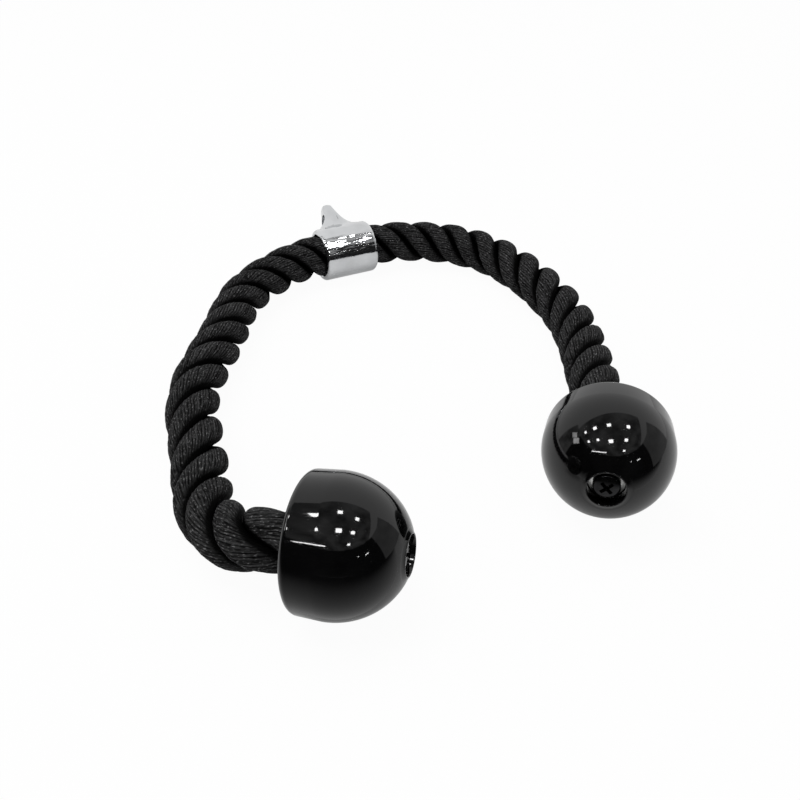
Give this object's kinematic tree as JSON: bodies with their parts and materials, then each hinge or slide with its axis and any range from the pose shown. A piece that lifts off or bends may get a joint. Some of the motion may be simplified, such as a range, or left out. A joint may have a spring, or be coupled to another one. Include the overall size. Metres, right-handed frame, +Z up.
{
  "type": "triceps rope attachment",
  "caption": "Thick laid rope through a turning metal collar with an eye for a cable clip, and a hard ball stop on each rope end. Each arm bends beside the collar.",
  "frame": {"origin": "middle of the bounding box at the height of the surface it lies on", "axes": "+X along the collar, +Y from the grips towards the collar, +Z up as it lies on a table"},
  "size_m": [0.2779, 0.3322, 0.0603],
  "materials": {
    "rope_fibre": "matte",
    "chrome_plate": "polished",
    "ball_plastic": "gloss",
    "black_screw": "gloss",
    "washer_steel": "satin",
    "plug_nylon": "matte",
    "whipping_tape": "satin"
  },
  "bodies": {
    "rope_middle": {"rope_centre": "rope_fibre"},
    "collar": {"collar_with_eye": "chrome_plate"},
    "left_arm": {"rope_left_bend": "rope_fibre", "rope_left_arm": "rope_fibre", "rope_left_end": "rope_fibre", "ball_left": "ball_plastic", "screw_left": "black_screw", "washer_left": "washer_steel", "plug_left": "plug_nylon", "whipping_left": "whipping_tape"},
    "right_arm": {"rope_right_bend": "rope_fibre", "rope_right_arm": "rope_fibre", "rope_right_end": "rope_fibre", "ball_right": "ball_plastic", "screw_right": "black_screw", "washer_right": "washer_steel", "plug_right": "plug_nylon", "whipping_right": "whipping_tape"}
  },
  "joints": [
    {"name": "collar_turn", "type": "hinge", "parent": "rope_middle", "child": "collar", "pos_m": [0.0298, 0.133, 0.0173], "axis": [1, 0, 0], "continuous": true},
    {"name": "left_bend", "type": "hinge", "parent": "rope_middle", "child": "left_arm", "pos_m": [0.0008, 0.133, 0.0173], "axis": [0, 0, -1], "range_deg": [-6, 60], "deforming": ["rope_left_bend"]},
    {"name": "right_bend", "type": "hinge", "parent": "rope_middle", "child": "right_arm", "pos_m": [0.0588, 0.133, 0.0173], "axis": [0, 0, 1], "range_deg": [-6, 60], "deforming": ["rope_right_bend"]}
  ]
}
